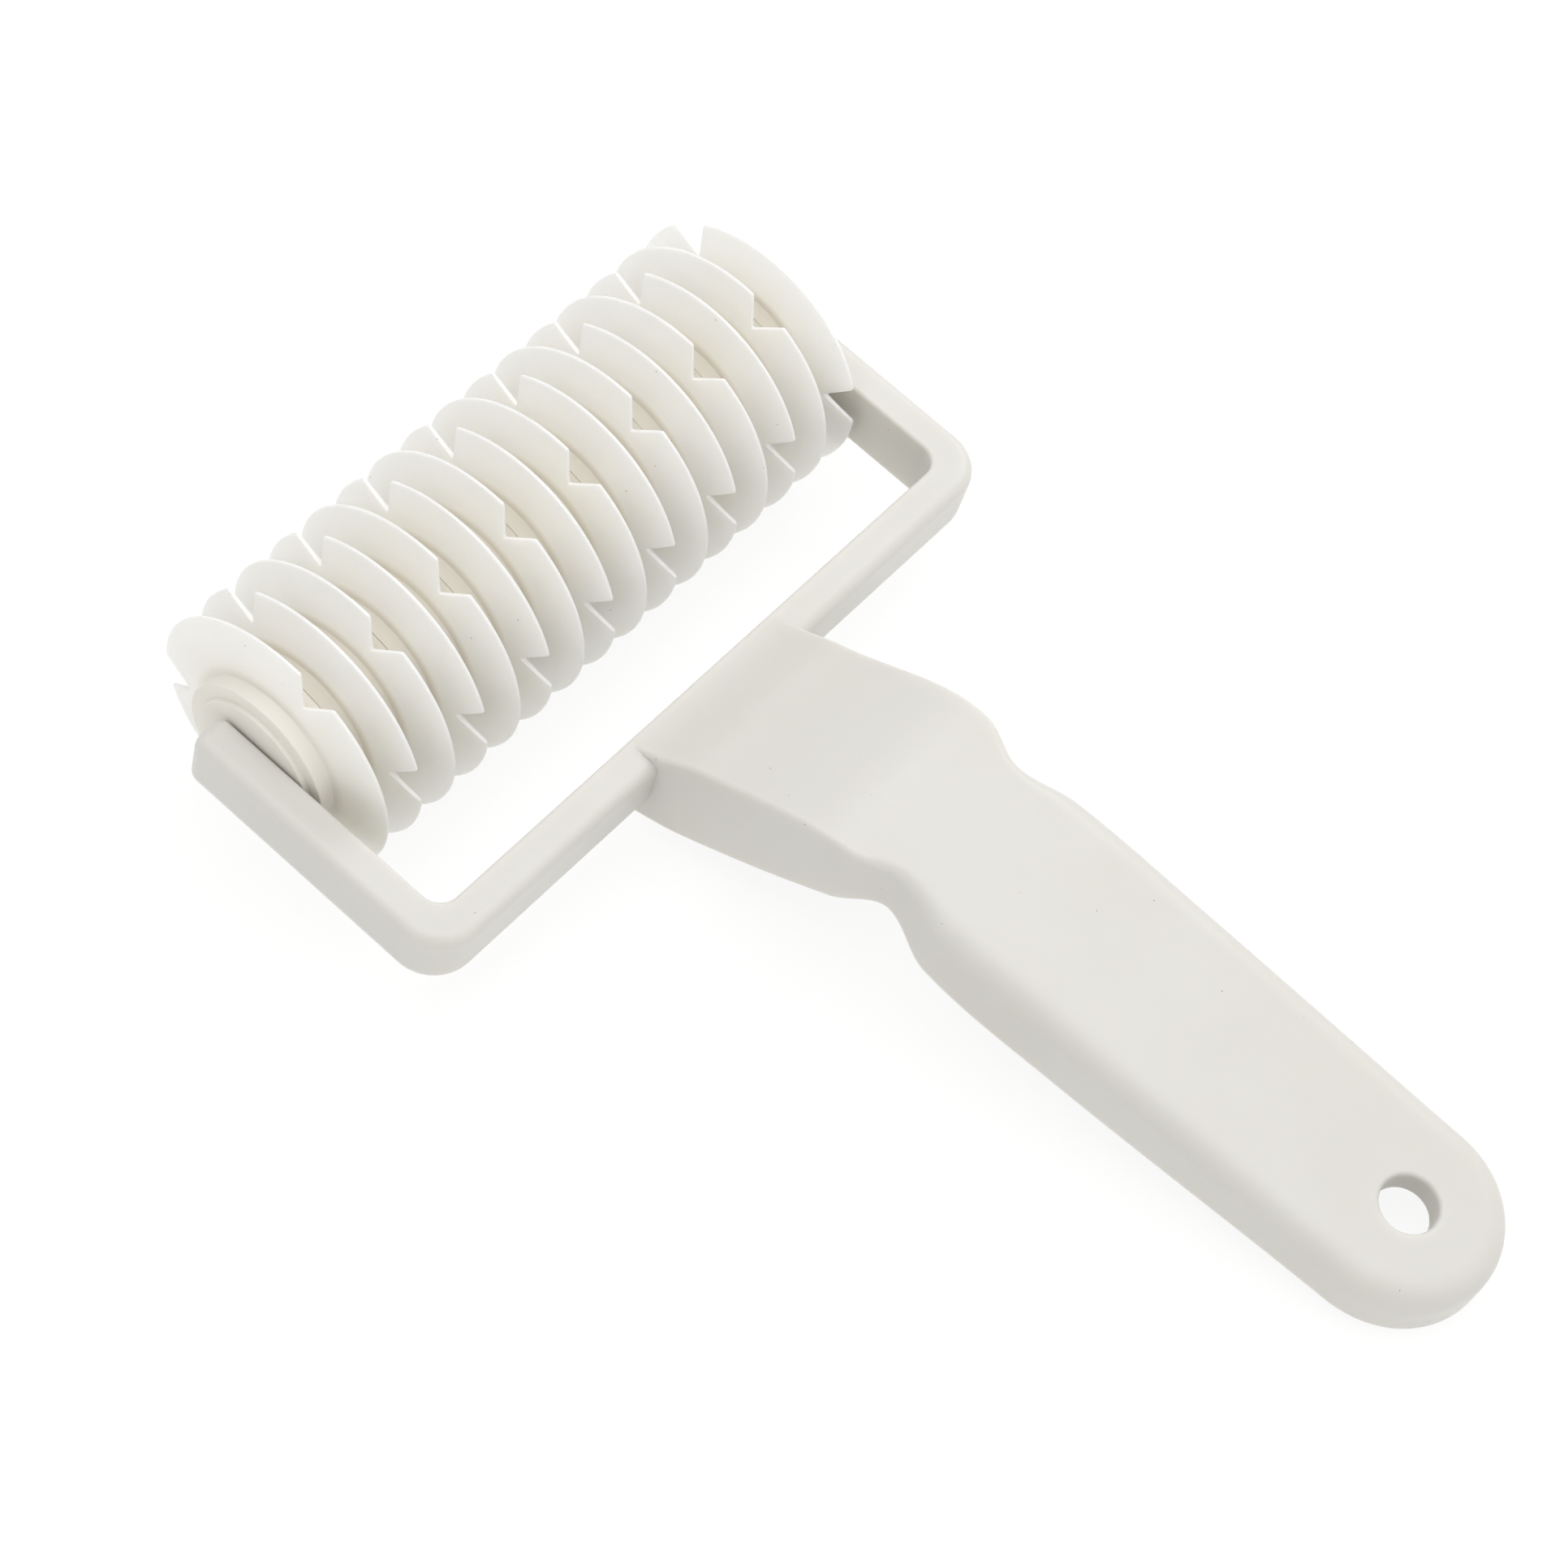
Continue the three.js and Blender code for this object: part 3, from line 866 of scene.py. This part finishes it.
@dataclass(frozen=True)
class CuttingRoller:
    """Sixteen notched discs, each a closed surface round the axle, in millimetres.

    The small sizes from flat_row to brink_row place the extra rows of a section that keep its
    flats flat and its corners crisp.
    """

    count: int = 16
    first: float = -49.54
    pitch: float = 6.77
    radius: float = 21.3
    rim_thickness: float = 0.5
    core: float = 3.2
    hub_radius: float = 12.6
    nose_radius: float = 10.3
    hub_length: float = 3.17
    nose_length: float = 0.7
    nest_clearance: float = 0.3
    seam: float = 0.06
    bore_flats: float = 8.3
    notches: int = 3
    notch_depth: float = 5.3
    notch_width: float = 7.0
    first_notch_deg: float = 14.6
    bevel: float = 2.4
    edge_round: float = 0.16
    hub_round: float = 0.22
    flat_row: float = 7.0
    beside_round: float = 0.1
    crease: float = 0.06
    tight: float = 0.05
    foot_row: float = 0.25
    foot_reach: float = 0.3
    foot_rise: float = 0.07
    brink_row: float = 0.2
    corner_softness: float = 7.0
    valley_deg: float = 0.5
    arc_steps: int = 30
    flank_steps: int = 18

    def angles(self) -> tuple[np.ndarray, np.ndarray]:
        """Space angles round a disc, close together at the notches.

        Returns:
            Angles from the first notch, and how far each is from its nearest notch.
        """
        sector = math.pi / self.notches
        mouth = math.asin(self.notch_width / 2 / self.radius)
        flank = mouth * np.linspace(0, 1, self.flank_steps)
        arc = mouth + (sector - mouth) * np.linspace(0, 1, self.arc_steps)[1:] ** 1.7
        half = np.concatenate([flank, arc])
        one = np.concatenate([-half[::-1][:-1], half[:-1]])
        turns = 2 * sector * np.arange(self.notches)
        return (turns[:, None] + one).ravel(), np.tile(np.abs(one), self.notches)

    def rim(self, away: np.ndarray) -> np.ndarray:
        """Rim radius at an angle from the nearest notch.

        The flank of a notch is the straight line from its valley to the rim, which in polar
        form is r = k p / (k cos a - sin a) for a valley at radius p and a flank that opens
        by k. A soft minimum of that and the full radius rounds the corners a little.

        Args:
            away: angle from the nearest notch.

        Returns:
            The rim radius.
        """
        opening = self.notch_width / 2 / self.notch_depth
        valley = self.radius - self.notch_depth
        eased = np.sqrt(away**2 + math.radians(self.valley_deg) ** 2)
        slant = np.maximum(opening * np.cos(eased) - np.sin(eased), 0.02)
        flank = np.minimum(opening * valley / slant, 3 * self.radius)
        pull = np.exp(-self.corner_softness * (flank - self.radius))
        return self.radius - np.log1p(pull) / self.corner_softness

    def rows(self, angle: np.ndarray, rim: np.ndarray, brink: float) -> np.ndarray:
        """Work out one disc at x = 0 as rows of the section, each taken round the axle.

        From the hexagonal bore the section goes out along the hub's nose, over its step,
        up the slanting left face of the blade to the rim, down the flat right face and over
        the short hub there, in which the neighbour's nose nests. The right face is bevelled
        towards the notches, so that their edges are as thin as the rim.

        Args:
            angle: angles round the axle from upright.
            rim: rim radius at each angle.
            brink: where the short hub ends, along X.

        Returns:
            Points as rows, angles and x, y, z.
        """
        root, thin = self.core / 2, self.rim_thickness / 2
        front = -root - self.hub_length
        step = front + self.nose_length
        ease = self.hub_round
        sixth = math.pi / 3
        bore = self.bore_flats / 2 / np.cos(np.mod(angle, sixth) - sixth / 2)
        even = np.ones_like(angle)
        slant = (root - thin) / (self.radius - self.hub_radius)
        edge = -thin - slant * (self.radius - rim)

        def right(radius: np.ndarray) -> np.ndarray:
            """Place of the right face, which meets the left one within the rim's thickness."""
            inland = np.clip((rim - radius) / self.bevel, 0, 1)
            return thin + (edge + thin) * (1 - inland) ** 2

        section: list[tuple[np.ndarray | float, np.ndarray]] = [(front, bore), (front, self.flat_row * even)]
        for start, radius in ((front, self.nose_radius), (step, self.hub_radius)):
            section.append((start, (radius - ease - self.beside_round) * even))
            for turn in np.linspace(0, QUARTER, 6):
                out = radius - ease * (1 - math.sin(turn))
                section.append((start + ease * (1 - math.cos(turn)), out * even))
            section.append((start + ease + self.beside_round, radius * even))
            if start == front:
                section.append((step - self.tight, radius * even))
                section.append((step, (radius + self.tight) * even))
        section.append((-root - self.foot_row, self.hub_radius * even))
        section.append((-root - self.foot_rise, (self.hub_radius + self.crease) * even))
        foot = self.hub_radius + self.foot_reach
        shares = (0, 0.05, 0.2, 0.4, 0.55, 0.7, 0.8, 0.9, 0.97, 1)
        reach = rim - self.edge_round - foot
        for share in shares:
            radius = foot + reach * share
            section.append((-thin - slant * (self.radius - radius), radius))
        for turn in np.linspace(0, QUARTER, 5)[1:]:
            out = rim - self.edge_round * (1 - math.sin(turn))
            section.append((edge + self.edge_round * (1 - math.cos(turn)), out))
        for turn in np.linspace(QUARTER, 0, 5)[:-1]:
            out = rim - self.edge_round * (1 - math.sin(turn))
            section.append((edge + 2 * thin - self.edge_round * (1 - math.cos(turn)), out))
        for share in shares[::-1]:
            radius = foot + reach * share
            section.append((right(radius), radius))
        nest = self.nose_radius + self.nest_clearance
        section += [
            (thin + self.foot_rise, (self.hub_radius + self.crease) * even),
            (thin + self.foot_row, self.hub_radius * even),
            (brink - self.brink_row, self.hub_radius * even),
            (brink - self.crease, self.hub_radius * even),
            (brink, (self.hub_radius - self.crease) * even),
            (brink, (nest + self.beside_round) * even),
            (brink - self.beside_round, nest * even),
            (root + self.tight, nest * even),
            (root, (nest - self.tight) * even),
            (root, self.flat_row * even),
            (root, bore),
        ]
        along = np.stack([np.broadcast_to(x, angle.shape) for x, _ in section])
        radius = np.stack([r for _, r in section])
        return np.stack([along, -radius * np.sin(angle), radius * np.cos(angle)], axis=-1)

    def build(
        self, pose: RestPose, finish: bpy.types.Material, end_disc_lit_copy: bpy.types.Material
    ) -> None:
        """Build each disc, turned half a notch spacing from its neighbours, and dress it.

        Args:
            pose: where the tool lies.
            finish: material of the discs.
            end_disc_lit_copy: material of the first disc, a copy with a darker painted blade and a lighter
                painted hub shade.
        """
        spread, away = self.angles()
        rim = self.rim(away)
        free_end = self.core / 2 + self.nose_length
        shoulder = self.pitch - self.core / 2 - self.hub_length + self.nose_length
        for number in range(1, self.count + 1):
            turn = math.radians(self.first_notch_deg)
            if number % 2 == 0:
                turn += math.pi / self.notches
            brink = shoulder - self.seam if number < self.count else free_end
            rows = self.rows(spread + turn, rim, brink)
            rows[..., 0] += self.first + (number - 1) * self.pitch
            disc = Skin(f"notched_disc_{number:02d}")
            disc.lay(rows, wrap_rows=True, wrap_columns=True)
            piece = disc.piece(pose)
            # The first disc takes the lit copy, with its darker painted blade and lighter painted hub shade.
            dress(piece, end_disc_lit_copy if number == 1 else finish, Body.ROLLER)
            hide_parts(f"cutting_disc_{number:02d}")


@dataclass(frozen=True)
class Softbox:
    """A square soft lamp that looks at the middle of the tool, in metres and watts."""

    name: str
    at: tuple[float, float, float]
    side: float
    watts: float
    aim: tuple[float, float, float] = (0.0, 0.0, 0.015)

    def hang(self) -> None:
        """Make the lamp, turned from its place towards the tool."""
        light = bpy.data.lights.new(self.name, "AREA")
        light.shape = "SQUARE"
        light.size = self.side
        light.energy = self.watts
        holder = bpy.data.objects.new(self.name, light)
        way = Vector(self.aim) - Vector(self.at)
        turn = way.to_track_quat("-Z", "Y").to_matrix().to_4x4()
        holder.matrix_world = Matrix.Translation(self.at) @ turn
        bpy.context.scene.collection.objects.link(holder)


@dataclass(frozen=True)
class Studio:
    """Pale floor, soft lamps and the camera that took the photograph, in metres."""

    camera_at: tuple[float, float, float] = (-0.269432, -0.177537, 0.462264)
    camera_forward: tuple[float, float, float] = (0.476203, 0.357131, -0.803547)
    camera_right: tuple[float, float, float] = (0.641766, -0.765859, 0.039946)
    focal_px: float = 4845.0
    sensor_mm: float = 36.0
    floor_half: float = 1.6
    floor_level: float = -0.0002
    floor_colour: str = "f4f4f2"
    floor_glow: float = 0.235
    shadow_share: float = 0.16
    ambient: float = 0.44
    softboxes: tuple[Softbox, ...] = (
        Softbox("top_softbox", (0.0, 0.0, 1.4), 1.2, 7.9),
        Softbox("right_softbox", (1.0, 0.1, 0.9), 0.9, 5.6),
        Softbox("left_softbox", (-0.8, 0.1, 1.1), 0.9, 2.4),
        Softbox("front_softbox", (0.1, -1.0, 0.8), 0.9, 1.9),
    )

    def camera(self) -> None:
        """Set the camera from its place and its axes, with no shift."""
        right = Vector(self.camera_right).normalized()
        back = -Vector(self.camera_forward).normalized()
        up = back.cross(right).normalized()
        lens = bpy.data.cameras.new("photo_camera")
        lens.sensor_width = self.sensor_mm
        lens.lens = self.focal_px * self.sensor_mm / IMAGE_PX
        lens.clip_start, lens.clip_end = 0.01, 20.0
        holder = bpy.data.objects.new("photo_camera", lens)
        turn = Matrix((right, up, back)).transposed().to_4x4()
        holder.matrix_world = Matrix.Translation(self.camera_at) @ turn
        bpy.context.scene.collection.objects.link(holder)
        bpy.context.scene.camera = holder

    def seen(self, tree: bpy.types.NodeTree) -> bpy.types.NodeSocket:
        """Tell rays that look at the background from rays that light the object.

        Args:
            tree: node tree that takes the nodes.

        Returns:
            A socket that is one for camera, glossy and transmission rays.
        """
        path = add(tree, "ShaderNodeLightPath")
        either = add(
            tree,
            "ShaderNodeMath",
            {0: path.outputs["Is Camera Ray"], 1: path.outputs["Is Glossy Ray"]},
            operation="MAXIMUM",
        ).outputs[0]
        return add(
            tree,
            "ShaderNodeMath",
            {0: either, 1: path.outputs["Is Transmission Ray"]},
            operation="MAXIMUM",
        ).outputs[0]

    def floor(self) -> None:
        """Lay the pale floor: white to the camera, with a share of its own shading for the shadow."""
        reach = self.floor_half
        side = np.linspace(-reach, reach, 2)
        across, along = np.meshgrid(side, side)
        skin = Skin("floor")
        skin.lay(np.stack([across, along, np.full_like(across, self.floor_level)], axis=-1))
        mesh = bpy.data.meshes.new("floor")
        mesh.from_pydata(skin.points[0].tolist(), [], skin.quads[0].tolist())
        material = bpy.data.materials.new("matt_paper_white")
        material.use_nodes = True
        tree = material.node_tree
        tree.nodes.clear()
        paper = add(tree, "ShaderNodeBsdfDiffuse", {"Color": linear(self.floor_colour)})
        white = add(tree, "ShaderNodeEmission", {"Strength": 1.0})
        share = add(
            tree,
            "ShaderNodeMath",
            {0: self.seen(tree), 1: 1 - self.shadow_share},
            operation="MULTIPLY",
        ).outputs[0]
        lit = add(tree, "ShaderNodeEmission", {"Strength": self.floor_glow})
        ground = add(tree, "ShaderNodeAddShader", {0: paper.outputs[0], 1: lit.outputs[0]})
        mixed = add(tree, "ShaderNodeMixShader", {0: share, 1: ground.outputs[0], 2: white.outputs[0]})
        add(tree, "ShaderNodeOutputMaterial", {"Surface": mixed.outputs[0]})
        mesh.materials.append(material)
        sheet = bpy.data.objects.new("floor", mesh)
        bpy.context.scene.collection.objects.link(sheet)

    def world(self) -> None:
        """Fill the room with even light, and with plain white where it is looked at."""
        room = bpy.data.worlds.new("studio")
        room.use_nodes = True
        tree = room.node_tree
        tree.nodes.clear()
        level = add(
            tree,
            "ShaderNodeMapRange",
            {"Value": self.seen(tree), "To Min": self.ambient, "To Max": 1.0},
        ).outputs["Result"]
        light = add(tree, "ShaderNodeBackground", {"Color": linear("ffffff"), "Strength": level})
        add(tree, "ShaderNodeOutputWorld", {"Surface": light.outputs[0]})
        bpy.context.scene.world = room

    def build(self) -> None:
        """Set up the floor, the room, the lamps, the camera and the view transform."""
        self.floor()
        self.world()
        for softbox in self.softboxes:
            softbox.hang()
        self.camera()
        bpy.context.scene.view_settings.view_transform = "Standard"


@dataclass(frozen=True)
class LatticeCutter:
    """The whole tool: yoke, handle, roller and axle in their plastics."""

    moulding: HandleFrame = HandleFrame()
    roller: CuttingRoller = CuttingRoller()

    def pose(self) -> RestPose:
        """Work out how the tool lies on its discs and on the end of its handle.

        The tilt is the angle of the line from the axle to the underside of the handle's
        end, plus the angle whose sine is the disc radius over that line's length.

        Returns:
            The pose at rest.
        """
        handle = self.moulding.handle
        _, _, _, below, _ = handle.stations[-1]
        away = handle.length - handle.bar_inner
        tilt = math.atan2(below, away) + math.asin(self.roller.radius / math.hypot(below, away))
        return RestPose(AXLE_AT, tilt)

    def build(self) -> None:
        """Build every piece and give the axle its finish."""
        pose = self.pose()
        self.moulding.build(pose, FRAME_FINISH.build())
        self.roller.build(pose, DISC_FINISH.build(), END_DISC_LIT_COPY.build())
        axle = frame["nodes"]["axle"]
        axle.data.materials.clear()
        axle.data.materials.append(AXLE_FINISH.build())
        log.info("axle: CAD node kept")


def main() -> None:
    """Build the tool and the studio."""
    logging.basicConfig(level=logging.INFO, format="%(name)s %(message)s")
    LatticeCutter().build()
    Studio().build()


if __name__ == "__main__":
    main()
